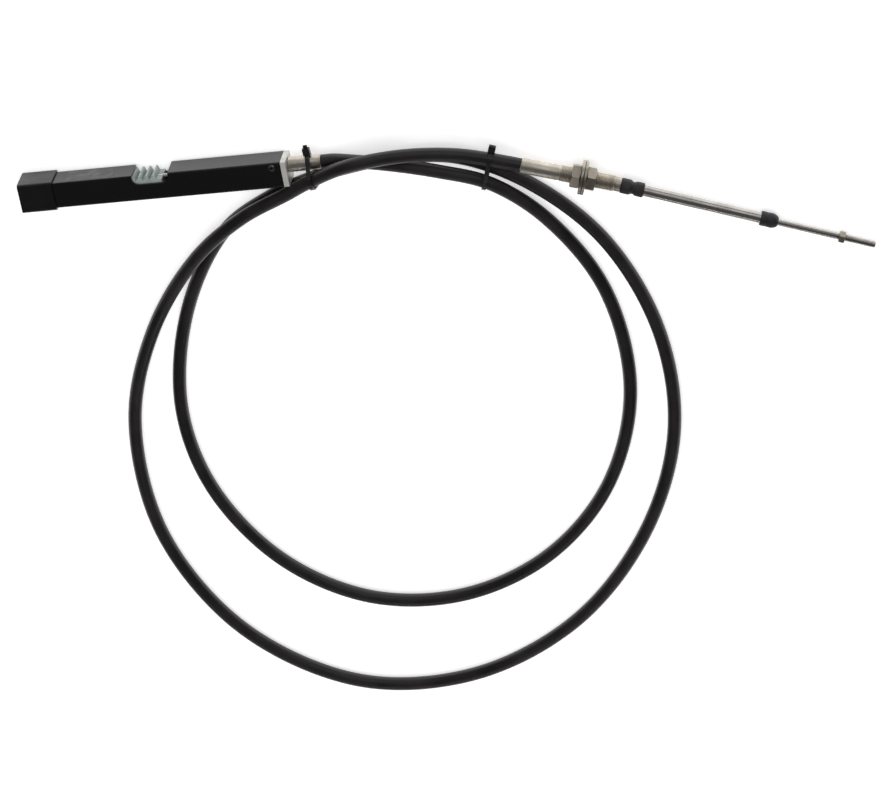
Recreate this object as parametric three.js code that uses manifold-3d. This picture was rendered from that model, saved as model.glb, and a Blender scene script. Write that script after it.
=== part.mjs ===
// Boat steering cable: a rack box, a coiled conduit and a swivelling output rod.
// Millimetres, +Z up. The part lies on a level floor at z = 0. The rack box runs along X.
import * as THREE from 'three';
import { mergeVertices } from 'three/addons/utils/BufferGeometryUtils.js';
import Module from 'manifold-3d';

const wasm = await Module();
wasm.setup();

// Clearances between neighbouring pieces
const GAP = 0.3;
const RUNNING_GAP = 0.4;

// How far a cutting tool runs on past the face it cuts
const OVERRUN = 1;

// Rack box: square tube, cap, end plate
const TUBE_SIZE = 32;
const TUBE_WALL = 2.4;
const TUBE_CORNER = 2.5;
const TUBE_INNER_CORNER = 0.6;
const TUBE_LENGTH = 305.8;
const CAP_LENGTH = 41;
const CAP_WALL = 1.7;
const CAP_END = 3;
const CAP_CORNER = 3.4;
const FLANGE_THICKNESS = 6;
const PLUG_LENGTH = 20;
const INLET_OFFSET = 5;

// Window through which the helm's pinion reaches the rack
const WINDOW_LENGTH = 42.5;
const WINDOW_DEPTH = 11.8;
const WINDOW_CORNER = 8;
const WINDOW_FROM_FACE = 138;

// Rack: 10 diametral pitch teeth on a square bar
const TOOTH_PITCH = 7.98;
const TOOTH_DEPTH = 5.5;
const TOOTH_TIP = 2.1;
const TOOTH_ROOT = 1.9;
const RACK_LAND = 9;
const RACK_END_ROOM = 10;
const RACK_BELOW_FACE = 2.8;
const RACK_SHORT_OF_WINDOW = 8.6;
const RACK_TRAVEL_OUT = 95.6;
const CORE_ROD_D = 6.2;
const CORE_ROD_SEAT = 12;
const CORE_ROD_CHAMFER = 1;

// End plate screws
const SCREW_HEAD_D = 8;
const SCREW_HEAD_HEIGHT = 2.4;
const SCREW_RIM_HEIGHT = 1.2;
const SCREW_DOME_D = 6.4;
const SCREW_DOME_HEIGHT = 2;
const SCREW_CROWN_D = 3.2;
const SCREW_SHANK_D = 3.2;
const SCREW_LENGTH = 8;
const SCREW_FROM_FACE = 16;
const SCREW_OFFSET = 10.2;

// The screws sit on the upper face, near the windowed side, and low on the far face
const SCREW_PLACES = [{ turn: 0, across: SCREW_OFFSET }, { turn: 90, across: -SCREW_OFFSET }];

// Inlet ferrule, crimped on the conduit beside the rack box
const FERRULE_D = 17.4;
const FERRULE_LENGTH = 38;
const SPIGOT_D = 12;
const SPIGOT_LENGTH = 15;
const CORE_BORE_D = 7;

// Conduit
const CONDUIT_D = 15.9;
const CONDUIT_SIDES = 12;
const CONDUIT_STEPS = 84;

// Cable ties
const TIE_WIDTH = 4.8;
const TIE_THICKNESS = 1.3;
const TIE_CLEARANCE = 0.4;
const TIE_HEAD = 8.2;
const TIE_HEAD_DEPTH = 6;
const TIE_TAIL_ROOT = 1;
const STRAP_SIDES = 48;

// Threaded hub with its bulkhead nuts and washers
const HUB_FERRULE_D = 17.6;
const HUB_FERRULE_LENGTH = 44.5;
const HUB_THREAD_D = 19.05;
const HUB_THREAD_LENGTH = 62.5;
const HUB_THREAD_CHAMFER = 0.8;
const HUB_NOSE_D = 17;
const HUB_NUT_FLATS = 25.4;
const HUB_NUT_THICKNESS = 10.5;
const HUB_NUT_CHAMFER = 0.9;
const NUT_FACE_SHARE = 0.97;
const WASHER_D = 39.8;
const WASHER_THICKNESS = 3.2;
const WASHER_CHAMFER = 0.4;
const FIRST_NUT_FROM_END = 57.2;
const FIRST_NUT_TURN = 10;

// Swivel between the hub and the sleeve
const SWIVEL_FROM_HUB_END = 103;
const BALL_D = 12.4;
const NOSE_SPHERE_R = 14;
const NOSE_MOUTH_D = 14.6;
const SLEEVE_NECK_D = 9;
const NECK_LENGTH = 15;

// Sleeve, boot, wiper and output rod, measured from the swivel's centre
const SLEEVE_D = 12.7;
const SLEEVE_SHOULDER = 16.5;
const SLEEVE_THROAT_D = 5.8;
const SLEEVE_BORE_SLOPE = 1;
const SLEEVE_END = 185;
const BOOT_FROM_NOSE = 0.5;
const BOOT_LOBE_END = 22.8;
const BOOT_WAIST_START = 25;
const BOOT_WAIST_END = 26.8;
const BOOT_TAIL_START = 28.8;
const BOOT_END = 38.2;
const BOOT_CHAMFER = 1;
const BOOT_D = 17.7;
const BOOT_WAIST_D = 14;
const BOOT_TAIL_D = 17;
const WIPER_START = 173.3;
const WIPER_END = 193.7;
const WIPER_D = 17;
const WIPER_CHAMFER = 0.8;
const WIPER_SHOULDER = 187.7;
const WIPER_LIP_START = 191.7;
const WIPER_LIP_D = 13.8;
const WIPER_MOUTH_D = 10.2;
const ROD_D = 7.94;
const ROD_START = 40;
const ROD_END = 306.9;
const ROD_CHAMFER = 0.8;
const ROD_NUT_FLATS = 12.7;
const ROD_NUT_THICKNESS = 6.75;
const ROD_NUT_MIDDLE = 268;
const ROD_NUT_CHAMFER = 0.6;

// Places in the part's own frame
const INLET_END = [-128.1, 82.5, 18];
const OUTLET_END = [99.4, 57.2, 23.3];
const HUB_YAW = -19.53;
const SLEEVE_YAW = -22.01;
const ARM_DROP = 2.594;

// Points the conduit's centreline passes through, from the inlet ferrule to the hub
const CONDUIT_ROUTE = [
  [-127.8, 82.5, 18], [-114, 82.5, 18.1], [-90, 81, 22.8], [-52, 75.5, 26.4], [4, 60, 25],
  [60, 36, 19.5], [116, -20, 10.5], [167, -117, 8.1], [176, -251, 8], [129, -377, 8],
  [42, -466, 8], [-66, -509, 8], [-176, -502, 8], [-271, -444, 8], [-337, -342, 8],
  [-355, -228, 8], [-322, -96, 8], [-258, 2, 8], [-198, 39.5, 8.4], [-148, 58, 9.6],
  [-96, 69, 9.2], [-39, 74.5, 8.6], [28, 68, 10.4], [103, 27, 9.4], [175, -52, 8],
  [220, -173, 8], [219, -308, 8], [164, -443, 8], [62, -558, 8], [-72, -621, 8],
  [-211, -618, 8], [-336, -537, 8], [-410, -399, 8], [-415, -243, 8.5], [-369, -121, 14],
  [-296, -24, 23.5], [-232, 23, 24.5], [-174, 49, 26], [-146, 63, 29.5], [-98, 83, 39.8],
  [-33, 89, 37.4],
  [30, 80.5, 30], [86.2, 61.9, 23.9], [99.1, 57.3, 23.3],
];

// Each cable tie: a point on the bundle, the bundle's heading there in degrees, and how far
// the cut tail stands out of the head
const LEFT_TIE = { x: -141.3, y: 70, heading: 4, tail: 4 };
const RIGHT_TIE = { x: 60, y: 54, heading: -20, tail: 0.8 };
const TIE_REACH = 55;

const steel = (color, roughness) =>
  new THREE.MeshStandardMaterial({ color, roughness, metalness: 0.9 });
const rubber = (color, roughness) =>
  new THREE.MeshStandardMaterial({ color, roughness, metalness: 0 });

const blackPaint = () => new THREE.MeshStandardMaterial({ color: 0x101012, roughness: 0.25 });
const blackPlastic = () => rubber(0x141416, 0.4);
const castZinc = () => steel(0xa9aaa8, 0.45);
const nickel = () => steel(0xb5b2a6, 0.3);
const zincPlate = () => steel(0x9a958b, 0.35);
const rackSteel = () => steel(0x84908c, 0.4);
const stainless = () => steel(0xb0b0ae, 0.2);
const blackRubber = () => rubber(0x1c1a1e, 0.7);
const conduitJacket = () => rubber(0x19171a, 0.5);

function toSolid(geometry) {
  const bare = geometry.clone();
  bare.deleteAttribute('normal');
  bare.deleteAttribute('uv');
  const merged = mergeVertices(bare, 1e-4);
  return new wasm.Manifold(new wasm.Mesh({
    numProp: 3,
    vertProperties: new Float32Array(merged.attributes.position.array),
    triVerts: new Uint32Array(merged.index.array),
  }));
}

function toGeometry(solid) {
  const mesh = solid.getMesh();
  const geometry = new THREE.BufferGeometry();
  geometry.setAttribute('position', new THREE.BufferAttribute(mesh.vertProperties, 3));
  geometry.setIndex(new THREE.BufferAttribute(mesh.triVerts, 1));
  geometry.computeVertexNormals();
  return geometry;
}

function cutFrom(geometry, tools) {
  const solid = tools.reduce((body, tool) => body.subtract(toSolid(tool)), toSolid(geometry));
  return toGeometry(solid);
}

function joined(geometries) {
  const [first, ...others] = geometries.map(toSolid);
  return toGeometry(others.reduce((body, other) => body.add(other), first));
}

// A profile of [distance along X, radius] pairs, turned about the X axis
function turned(profile, sides = 32) {
  const points = profile.map(([along, radius]) => new THREE.Vector2(radius, along));
  return new THREE.LatheGeometry(points, sides).rotateZ(-Math.PI / 2);
}

// A rod along Z, used as a cutting tool
function drill(radius, bottom, top, sides = 24) {
  const height = top - bottom;
  return new THREE.CylinderGeometry(radius, radius, height, sides)
    .rotateX(Math.PI / 2)
    .translate(0, 0, bottom + height / 2);
}

function roundedSquare(size, corner, Kind = THREE.Shape) {
  const half = size / 2;
  const flat = half - corner;
  const outline = new Kind();
  outline.moveTo(-flat, -half);
  outline.lineTo(flat, -half);
  outline.absarc(flat, -flat, corner, -Math.PI / 2, 0);
  outline.lineTo(half, flat);
  outline.absarc(flat, flat, corner, 0, Math.PI / 2);
  outline.lineTo(-flat, half);
  outline.absarc(-flat, flat, corner, Math.PI / 2, Math.PI);
  outline.lineTo(-half, -flat);
  outline.absarc(-flat, -flat, corner, Math.PI, Math.PI * 1.5);
  return outline;
}

// A shape drawn in the YZ plane, extruded along +X from the given start
function extrudeAlongX(shape, start, length, curveSegments = 5) {
  return new THREE.ExtrudeGeometry(shape, { depth: length, bevelEnabled: false, curveSegments })
    .rotateX(Math.PI / 2)
    .rotateZ(Math.PI / 2)
    .translate(start, 0, 0);
}

// A shape drawn in the XY plane, extruded evenly about z = 0
function extrudeUpright(shape, height, curveSegments = 6) {
  return new THREE.ExtrudeGeometry(shape, { depth: height, bevelEnabled: false, curveSegments })
    .translate(0, 0, -height / 2);
}

// A hexagonal nut with chamfered corners, bored through, along X from the given start
function hexNut(flats, thickness, bore, start, chamfer) {
  const corner = flats / 2 / Math.cos(Math.PI / 6);
  const face = flats / 2 * NUT_FACE_SHARE;
  const blank = new THREE.CylinderGeometry(corner, corner, thickness, 6)
    .rotateZ(-Math.PI / 2)
    .rotateX(Math.PI / 6)
    .translate(start + thickness / 2, 0, 0);
  const turnedBlank = turned([
    [start, 0], [start, face], [start + chamfer, corner + GAP],
    [start + thickness - chamfer, corner + GAP], [start + thickness, face],
    [start + thickness, 0],
  ], 36);
  const hole = turned([
    [start - OVERRUN, 0], [start - OVERRUN, bore / 2],
    [start + thickness + OVERRUN, bore / 2], [start + thickness + OVERRUN, 0],
  ], 24);
  const body = toSolid(blank).intersect(toSolid(turnedBlank)).subtract(toSolid(hole));
  return toGeometry(body);
}

function named(name, geometry, material) {
  const mesh = new THREE.Mesh(geometry, material);
  mesh.name = name;
  return mesh;
}

// Rack box, in its own frame: x = 0 on the end plate's outer face, negative towards the cap
const tubeEnd = -FLANGE_THICKNESS - GAP;
const tubeStart = tubeEnd - TUBE_LENGTH;
const windowEnd = -WINDOW_FROM_FACE;
const windowFloor = TUBE_SIZE / 2 - WINDOW_DEPTH;
const rackEnd = windowEnd - RACK_SHORT_OF_WINDOW;
const toothedRoom = rackEnd - tubeStart - RACK_END_ROOM - 2 * RACK_LAND;
const toothCount = Math.floor(toothedRoom / TOOTH_PITCH) + 1;
const rackLength = (toothCount - 1) * TOOTH_PITCH + 2 * RACK_LAND;
const tubeInside = TUBE_SIZE - 2 * TUBE_WALL;
const rackSize = tubeInside - 2 * RUNNING_GAP;
const ferruleEnd = GAP + FERRULE_LENGTH;

function windowCutter() {
  const start = windowEnd - WINDOW_LENGTH;
  const top = TUBE_SIZE;
  const shape = new THREE.Shape();
  shape.moveTo(start, top);
  shape.lineTo(start, windowFloor + WINDOW_CORNER);
  shape.absarc(start + WINDOW_CORNER, windowFloor + WINDOW_CORNER, WINDOW_CORNER,
    Math.PI, Math.PI * 1.5);
  shape.absarc(windowEnd - WINDOW_CORNER, windowFloor + WINDOW_CORNER, WINDOW_CORNER,
    Math.PI * 1.5, Math.PI * 2);
  shape.lineTo(windowEnd, top);
  return extrudeUpright(shape, TUBE_SIZE * 2);
}

// Copies of a piece made about the Z axis, one at each screw's place
function screwPlaces(make) {
  return SCREW_PLACES.map(({ turn, across }) => make()
    .translate(-SCREW_FROM_FACE, across, TUBE_SIZE / 2)
    .rotateX(THREE.MathUtils.degToRad(turn)));
}

function makeHousingTube() {
  const section = roundedSquare(TUBE_SIZE, TUBE_CORNER);
  section.holes.push(roundedSquare(tubeInside, TUBE_INNER_CORNER, THREE.Path));
  const holes = screwPlaces(() =>
    drill(SCREW_SHANK_D / 2 + GAP, -TUBE_WALL * 2, TUBE_WALL));
  return cutFrom(extrudeAlongX(section, tubeStart, TUBE_LENGTH), [windowCutter(), ...holes]);
}

function makeEndCap() {
  const mouth = TUBE_SIZE + 2 * GAP;
  const size = mouth + 2 * CAP_WALL;
  const start = tubeStart - GAP - CAP_END;
  const block = extrudeAlongX(roundedSquare(size, CAP_CORNER), start, CAP_LENGTH);
  const hollow = extrudeAlongX(
    roundedSquare(mouth, TUBE_CORNER), start + CAP_END, CAP_LENGTH);
  return cutFrom(block, [hollow]);
}

function makeEndPlate() {
  const plugEnd = -FLANGE_THICKNESS - PLUG_LENGTH;
  const flange = extrudeAlongX(
    roundedSquare(TUBE_SIZE, TUBE_CORNER), -FLANGE_THICKNESS, FLANGE_THICKNESS);
  const plug = extrudeAlongX(
    roundedSquare(tubeInside - 2 * RUNNING_GAP, TUBE_INNER_CORNER), plugEnd,
    PLUG_LENGTH + OVERRUN);
  const bore = turned([
    [plugEnd - OVERRUN, 0],
    [plugEnd - OVERRUN, CORE_BORE_D / 2],
    [-SPIGOT_LENGTH - GAP, CORE_BORE_D / 2],
    [-SPIGOT_LENGTH - GAP, SPIGOT_D / 2 + GAP],
    [OVERRUN, SPIGOT_D / 2 + GAP],
    [OVERRUN, 0],
  ]).translate(0, INLET_OFFSET, 0);
  const holes = screwPlaces(() =>
    drill(SCREW_SHANK_D / 2 + GAP, -SCREW_LENGTH - GAP, OVERRUN));
  return cutFrom(joined([flange, plug]), [bore, ...holes]);
}

function makeScrew() {
  const head = SCREW_HEAD_D / 2;
  const profile = [
    [-SCREW_LENGTH, 0], [-SCREW_LENGTH, SCREW_SHANK_D / 2], [GAP, SCREW_SHANK_D / 2],
    [GAP, head], [GAP + SCREW_RIM_HEIGHT, head],
    [GAP + SCREW_DOME_HEIGHT, SCREW_DOME_D / 2], [GAP + SCREW_HEAD_HEIGHT, SCREW_CROWN_D / 2],
    [GAP + SCREW_HEAD_HEIGHT, 0],
  ];
  return turned(profile, 24).rotateY(-Math.PI / 2);
}

// The rack's outline in plan: a bar with its teeth along the +Y edge
function rackOutline() {
  const tip = TUBE_SIZE / 2 - RACK_BELOW_FACE;
  const root = tip - TOOTH_DEPTH;
  const back = -rackSize / 2;
  const outline = new THREE.Shape();
  outline.moveTo(0, back);
  outline.lineTo(-rackLength, back);
  outline.lineTo(-rackLength, root);
  for (let tooth = toothCount - 1; tooth >= 0; tooth -= 1) {
    const middle = -RACK_LAND - tooth * TOOTH_PITCH;
    const foot = (TOOTH_PITCH - TOOTH_ROOT) / 2;
    outline.lineTo(middle - foot, root);
    outline.lineTo(middle - TOOTH_TIP / 2, tip);
    outline.lineTo(middle + TOOTH_TIP / 2, tip);
    outline.lineTo(middle + foot, root);
  }
  outline.lineTo(0, root);
  return outline;
}

function makeRackBar() {
  const bar = extrudeUpright(rackOutline(), rackSize).translate(rackEnd, 0, 0);
  const seat = turned([
    [rackEnd - CORE_ROD_SEAT, 0], [rackEnd - CORE_ROD_SEAT, CORE_ROD_D / 2 + GAP],
    [rackEnd + OVERRUN, CORE_ROD_D / 2 + GAP], [rackEnd + OVERRUN, 0],
  ], 24).translate(0, INLET_OFFSET, 0);
  return cutFrom(bar, [seat]);
}

// The rod stops where its far end still clears the conduit with the rack right out
function makeCoreRod() {
  const start = rackEnd - CORE_ROD_SEAT + GAP;
  const end = ferruleEnd - RACK_TRAVEL_OUT;
  return turned([
    [start, 0], [start, CORE_ROD_D / 2], [end - CORE_ROD_CHAMFER, CORE_ROD_D / 2],
    [end, CORE_ROD_D / 2 - CORE_ROD_CHAMFER], [end, 0],
  ], 24).translate(0, INLET_OFFSET, 0);
}

function makeInletFerrule() {
  const bore = CORE_BORE_D / 2;
  return turned([
    [-SPIGOT_LENGTH, bore], [-SPIGOT_LENGTH, SPIGOT_D / 2], [GAP, SPIGOT_D / 2],
    [GAP, FERRULE_D / 2], [ferruleEnd, FERRULE_D / 2], [ferruleEnd, bore],
    [-SPIGOT_LENGTH, bore],
  ]).translate(0, INLET_OFFSET, 0);
}

// Conduit
const conduitPath = new THREE.CatmullRomCurve3(
  CONDUIT_ROUTE.map((point) => new THREE.Vector3(...point)), false, 'centripetal');

function makeConduit() {
  const section = new THREE.Shape();
  for (let side = 0; side < CONDUIT_SIDES; side += 1) {
    const angle = (side + 0.5) * 2 * Math.PI / CONDUIT_SIDES;
    const x = CONDUIT_D / 2 * Math.cos(angle);
    const y = CONDUIT_D / 2 * Math.sin(angle);
    if (side === 0) section.moveTo(x, y);
    else section.lineTo(x, y);
  }
  return new THREE.ExtrudeGeometry(section, {
    extrudePath: conduitPath, steps: CONDUIT_STEPS, bevelEnabled: false,
  });
}

// Where the conduit's strands pass a tie, as circles in the tie's own plane. Each strand is
// taken at both edges of the strap and at its middle, because it runs through on a slant.
function strandCircles(tie) {
  const heading = THREE.MathUtils.degToRad(tie.heading);
  const along = new THREE.Vector3(Math.cos(heading), Math.sin(heading), 0);
  const across = new THREE.Vector3(-along.y, along.x, 0);
  const points = conduitPath.getSpacedPoints(CONDUIT_STEPS);
  const circles = [];
  for (const offset of [-TIE_WIDTH / 2, 0, TIE_WIDTH / 2]) {
    const place = new THREE.Vector3(tie.x, tie.y, 0).addScaledVector(along, offset);
    for (let i = 1; i < points.length; i += 1) {
      const before = points[i - 1].clone().sub(place).dot(along);
      const after = points[i].clone().sub(place).dot(along);
      const crossing = points[i - 1].clone().lerp(points[i], before / (before - after));
      const sideways = crossing.clone().sub(place).dot(across);
      if (before * after <= 0 && Math.abs(sideways) < TIE_REACH) {
        const slant = Math.abs(after - before) / points[i].distanceTo(points[i - 1]);
        circles.push({ across: sideways, up: crossing.z, radius: CONDUIT_D / 2 / slant });
      }
    }
  }
  return circles;
}

// The outline that a strap takes round a bundle of circles
function strapOutline(circles, clearance, Kind = THREE.Shape) {
  const outline = new Kind();
  for (let side = 0; side < STRAP_SIDES; side += 1) {
    const angle = side * 2 * Math.PI / STRAP_SIDES;
    const nx = Math.cos(angle);
    const ny = Math.sin(angle);
    const reach = (circle) => circle.across * nx + circle.up * ny + circle.radius;
    const outermost = circles.reduce((best, circle) =>
      (reach(circle) > reach(best) ? circle : best));
    const radius = outermost.radius + clearance;
    const x = outermost.across + radius * nx;
    const y = outermost.up + radius * ny;
    if (side === 0) outline.moveTo(x, y);
    else outline.lineTo(x, y);
  }
  return outline;
}

// A tie round its bundle, with its head and cut tail at the height of the bundle's +Y edge
function makeTie(tie, circles) {
  const band = strapOutline(circles, TIE_CLEARANCE + TIE_THICKNESS);
  band.holes.push(strapOutline(circles, TIE_CLEARANCE, THREE.Path));
  const strap = extrudeAlongX(band, -TIE_WIDTH / 2, TIE_WIDTH);
  const edge = circles.reduce((best, circle) =>
    (circle.across + circle.radius > best.across + best.radius ? circle : best));
  const headStart = edge.across + edge.radius + TIE_CLEARANCE + TIE_THICKNESS / 2;
  const head = new THREE.BoxGeometry(TIE_HEAD, TIE_HEAD, TIE_HEAD_DEPTH)
    .translate(0, headStart + TIE_HEAD / 2, edge.up);
  const tail = new THREE.BoxGeometry(TIE_WIDTH, tie.tail + TIE_TAIL_ROOT, TIE_THICKNESS)
    .translate(0, headStart + TIE_HEAD + (tie.tail - TIE_TAIL_ROOT) / 2, edge.up);
  const heading = THREE.MathUtils.degToRad(tie.heading);
  return joined([strap, head, tail]).rotateZ(heading).translate(tie.x, tie.y, 0);
}

function ferruleCircle(tie) {
  return { across: INLET_END[1] - tie.y, up: INLET_END[2], radius: FERRULE_D / 2 + GAP };
}

// Hub, in its own frame: x = 0 on the ferrule's end face, +X along the hub
const hubThreadEnd = HUB_FERRULE_LENGTH + HUB_THREAD_LENGTH;
const ballSeat = BALL_D / 2 + GAP;

// A point on the circle of the given radius round the swivel's centre
const onSphere = (sphere, radius) => Math.sqrt(sphere * sphere - radius * radius);

function makeHub() {
  const centre = SWIVEL_FROM_HUB_END;
  const mouth = NOSE_MOUTH_D / 2;
  const nose = HUB_NOSE_D / 2;
  const thread = HUB_THREAD_D / 2;
  return turned([
    [0, CORE_BORE_D / 2],
    [0, HUB_FERRULE_D / 2],
    [HUB_FERRULE_LENGTH, HUB_FERRULE_D / 2],
    [HUB_FERRULE_LENGTH, thread - HUB_THREAD_CHAMFER],
    [HUB_FERRULE_LENGTH + HUB_THREAD_CHAMFER, thread],
    [hubThreadEnd - HUB_THREAD_CHAMFER, thread],
    [hubThreadEnd, nose],
    [centre + onSphere(NOSE_SPHERE_R, nose), nose],
    [centre + onSphere(NOSE_SPHERE_R, mouth), mouth],
    [centre, ballSeat],
    [centre - ballSeat - GAP, ballSeat],
    [centre - ballSeat - GAP, CORE_BORE_D / 2],
    [0, CORE_BORE_D / 2],
  ]);
}

const firstNutStart = FIRST_NUT_FROM_END;
const firstWasherStart = firstNutStart + HUB_NUT_THICKNESS + GAP;
const secondWasherStart = firstWasherStart + WASHER_THICKNESS + GAP;
const secondNutStart = secondWasherStart + WASHER_THICKNESS + GAP;
const hubHole = HUB_THREAD_D + 2 * GAP;

function makeWasher(start) {
  const outer = WASHER_D / 2;
  const edge = WASHER_CHAMFER;
  return turned([
    [start, hubHole / 2], [start, outer - edge], [start + edge, outer],
    [start + WASHER_THICKNESS - edge, outer], [start + WASHER_THICKNESS, outer - edge],
    [start + WASHER_THICKNESS, hubHole / 2], [start, hubHole / 2],
  ], 48);
}

function makeHubNut(start) {
  return hexNut(HUB_NUT_FLATS, HUB_NUT_THICKNESS, hubHole, start, HUB_NUT_CHAMFER);
}

// Swivelling arm, in its own frame: x = 0 at the swivel's centre, +X along the sleeve
const makeBall = () => new THREE.SphereGeometry(BALL_D / 2, 24, 16);

function makeSleeve() {
  const neck = SLEEVE_NECK_D / 2;
  const bore = ROD_D / 2 + GAP;
  const throat = SLEEVE_THROAT_D / 2;
  const start = BALL_D / 2 + RUNNING_GAP;
  return turned([
    [start, throat], [start, neck], [NECK_LENGTH, neck], [SLEEVE_SHOULDER, SLEEVE_D / 2],
    [SLEEVE_END, SLEEVE_D / 2], [SLEEVE_END, bore], [SLEEVE_SHOULDER + SLEEVE_BORE_SLOPE, bore],
    [SLEEVE_SHOULDER, throat], [start, throat],
  ]);
}

function makeBoot() {
  const bore = SLEEVE_D / 2 + GAP;
  const sphere = NOSE_SPHERE_R + BOOT_FROM_NOSE;
  const lobe = BOOT_D / 2;
  const waist = BOOT_WAIST_D / 2;
  const tail = BOOT_TAIL_D / 2;
  return turned([
    [onSphere(sphere, bore), bore],
    [onSphere(sphere, lobe), lobe],
    [BOOT_LOBE_END, lobe],
    [BOOT_WAIST_START, waist],
    [BOOT_WAIST_END, waist],
    [BOOT_TAIL_START, tail],
    [BOOT_END - BOOT_CHAMFER, tail],
    [BOOT_END, tail - BOOT_CHAMFER],
    [BOOT_END, bore],
    [onSphere(sphere, bore), bore],
  ]);
}

function makeWiper() {
  const outer = WIPER_D / 2;
  const onSleeve = SLEEVE_D / 2 + GAP;
  const onRod = ROD_D / 2 + GAP;
  return turned([
    [WIPER_START, onSleeve], [WIPER_START, outer - WIPER_CHAMFER],
    [WIPER_START + WIPER_CHAMFER, outer], [WIPER_SHOULDER, outer],
    [WIPER_LIP_START, WIPER_LIP_D / 2], [WIPER_END, WIPER_MOUTH_D / 2],
    [WIPER_END, onRod], [SLEEVE_END + GAP, onRod], [SLEEVE_END + GAP, onSleeve],
    [WIPER_START, onSleeve],
  ]);
}

function makeOutputRod() {
  const radius = ROD_D / 2;
  return turned([
    [ROD_START, 0], [ROD_START, radius], [ROD_END - ROD_CHAMFER, radius],
    [ROD_END, radius - ROD_CHAMFER], [ROD_END, 0],
  ], 24);
}

function makeRodNut() {
  const start = ROD_NUT_MIDDLE - ROD_NUT_THICKNESS / 2;
  return hexNut(ROD_NUT_FLATS, ROD_NUT_THICKNESS, ROD_D + 2 * GAP, start, ROD_NUT_CHAMFER);
}

// A group that points its +X along a heading and a drop below level
function aimed(place, yaw, drop) {
  const group = new THREE.Group();
  group.position.set(...place);
  group.rotation.order = 'ZYX';
  group.rotation.z = THREE.MathUtils.degToRad(yaw);
  group.rotation.y = THREE.MathUtils.degToRad(drop);
  return group;
}

const part = new THREE.Group();

const rackBox = new THREE.Group();
rackBox.position.set(
  INLET_END[0] - ferruleEnd, INLET_END[1] - INLET_OFFSET, INLET_END[2]);
rackBox.add(named('housing_tube', makeHousingTube(), blackPaint()));
rackBox.add(named('end_cap', makeEndCap(), blackPlastic()));
rackBox.add(named('end_plate', makeEndPlate(), castZinc()));
screwPlaces(makeScrew).forEach((screw, index) => {
  rackBox.add(named(`end_plate_screw_${index + 1}`, screw, zincPlate()));
});
rackBox.add(named('rack_bar', makeRackBar(), rackSteel()));
rackBox.add(named('core_rod', makeCoreRod(), stainless()));
rackBox.add(named('inlet_ferrule', makeInletFerrule(), nickel()));
part.add(rackBox);

part.add(named('conduit', makeConduit(), conduitJacket()));
part.add(named('cable_tie_left',
  makeTie(LEFT_TIE, [...strandCircles(LEFT_TIE), ferruleCircle(LEFT_TIE)]), blackPlastic()));
part.add(named('cable_tie_right',
  makeTie(RIGHT_TIE, strandCircles(RIGHT_TIE)), blackPlastic()));

const hubEnd = aimed(OUTLET_END, HUB_YAW, ARM_DROP);
hubEnd.add(named('threaded_hub', makeHub(), nickel()));
const firstNut = named('bulkhead_nut_1', makeHubNut(firstNutStart), zincPlate());
firstNut.rotation.x = THREE.MathUtils.degToRad(FIRST_NUT_TURN);
hubEnd.add(firstNut);
hubEnd.add(named('bulkhead_washer_1', makeWasher(firstWasherStart), zincPlate()));
hubEnd.add(named('bulkhead_washer_2', makeWasher(secondWasherStart), zincPlate()));
hubEnd.add(named('bulkhead_nut_2', makeHubNut(secondNutStart), zincPlate()));
part.add(hubEnd);

hubEnd.updateMatrixWorld(true);
const swivel = hubEnd.localToWorld(new THREE.Vector3(SWIVEL_FROM_HUB_END, 0, 0));
const arm = aimed(swivel.toArray(), SLEEVE_YAW, ARM_DROP);
arm.add(named('swivel_ball', makeBall(), stainless()));
arm.add(named('sleeve_tube', makeSleeve(), stainless()));
arm.add(named('swivel_boot', makeBoot(), blackRubber()));
arm.add(named('wiper_seal', makeWiper(), blackRubber()));
arm.add(named('output_rod', makeOutputRod(), stainless()));
arm.add(named('rod_nut', makeRodNut(), zincPlate()));
part.add(arm);

export default part;
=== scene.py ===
# Looks of the boat steering cable, in metres and in the CAD model's own frame
import bmesh
import bpy
import math
from mathutils import Matrix, Vector


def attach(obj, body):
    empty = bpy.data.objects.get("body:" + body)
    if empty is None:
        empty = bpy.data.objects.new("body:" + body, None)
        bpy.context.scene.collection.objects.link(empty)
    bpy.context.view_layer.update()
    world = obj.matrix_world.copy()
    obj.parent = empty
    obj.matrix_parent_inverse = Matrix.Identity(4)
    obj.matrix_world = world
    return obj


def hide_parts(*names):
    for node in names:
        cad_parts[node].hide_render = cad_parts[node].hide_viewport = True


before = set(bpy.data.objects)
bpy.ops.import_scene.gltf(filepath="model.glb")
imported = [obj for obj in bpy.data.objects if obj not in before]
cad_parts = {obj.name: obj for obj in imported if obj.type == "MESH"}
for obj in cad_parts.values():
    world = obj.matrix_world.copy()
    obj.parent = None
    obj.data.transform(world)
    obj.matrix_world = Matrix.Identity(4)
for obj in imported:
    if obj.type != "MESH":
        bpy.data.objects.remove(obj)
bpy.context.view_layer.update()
MM = 0.001

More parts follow.
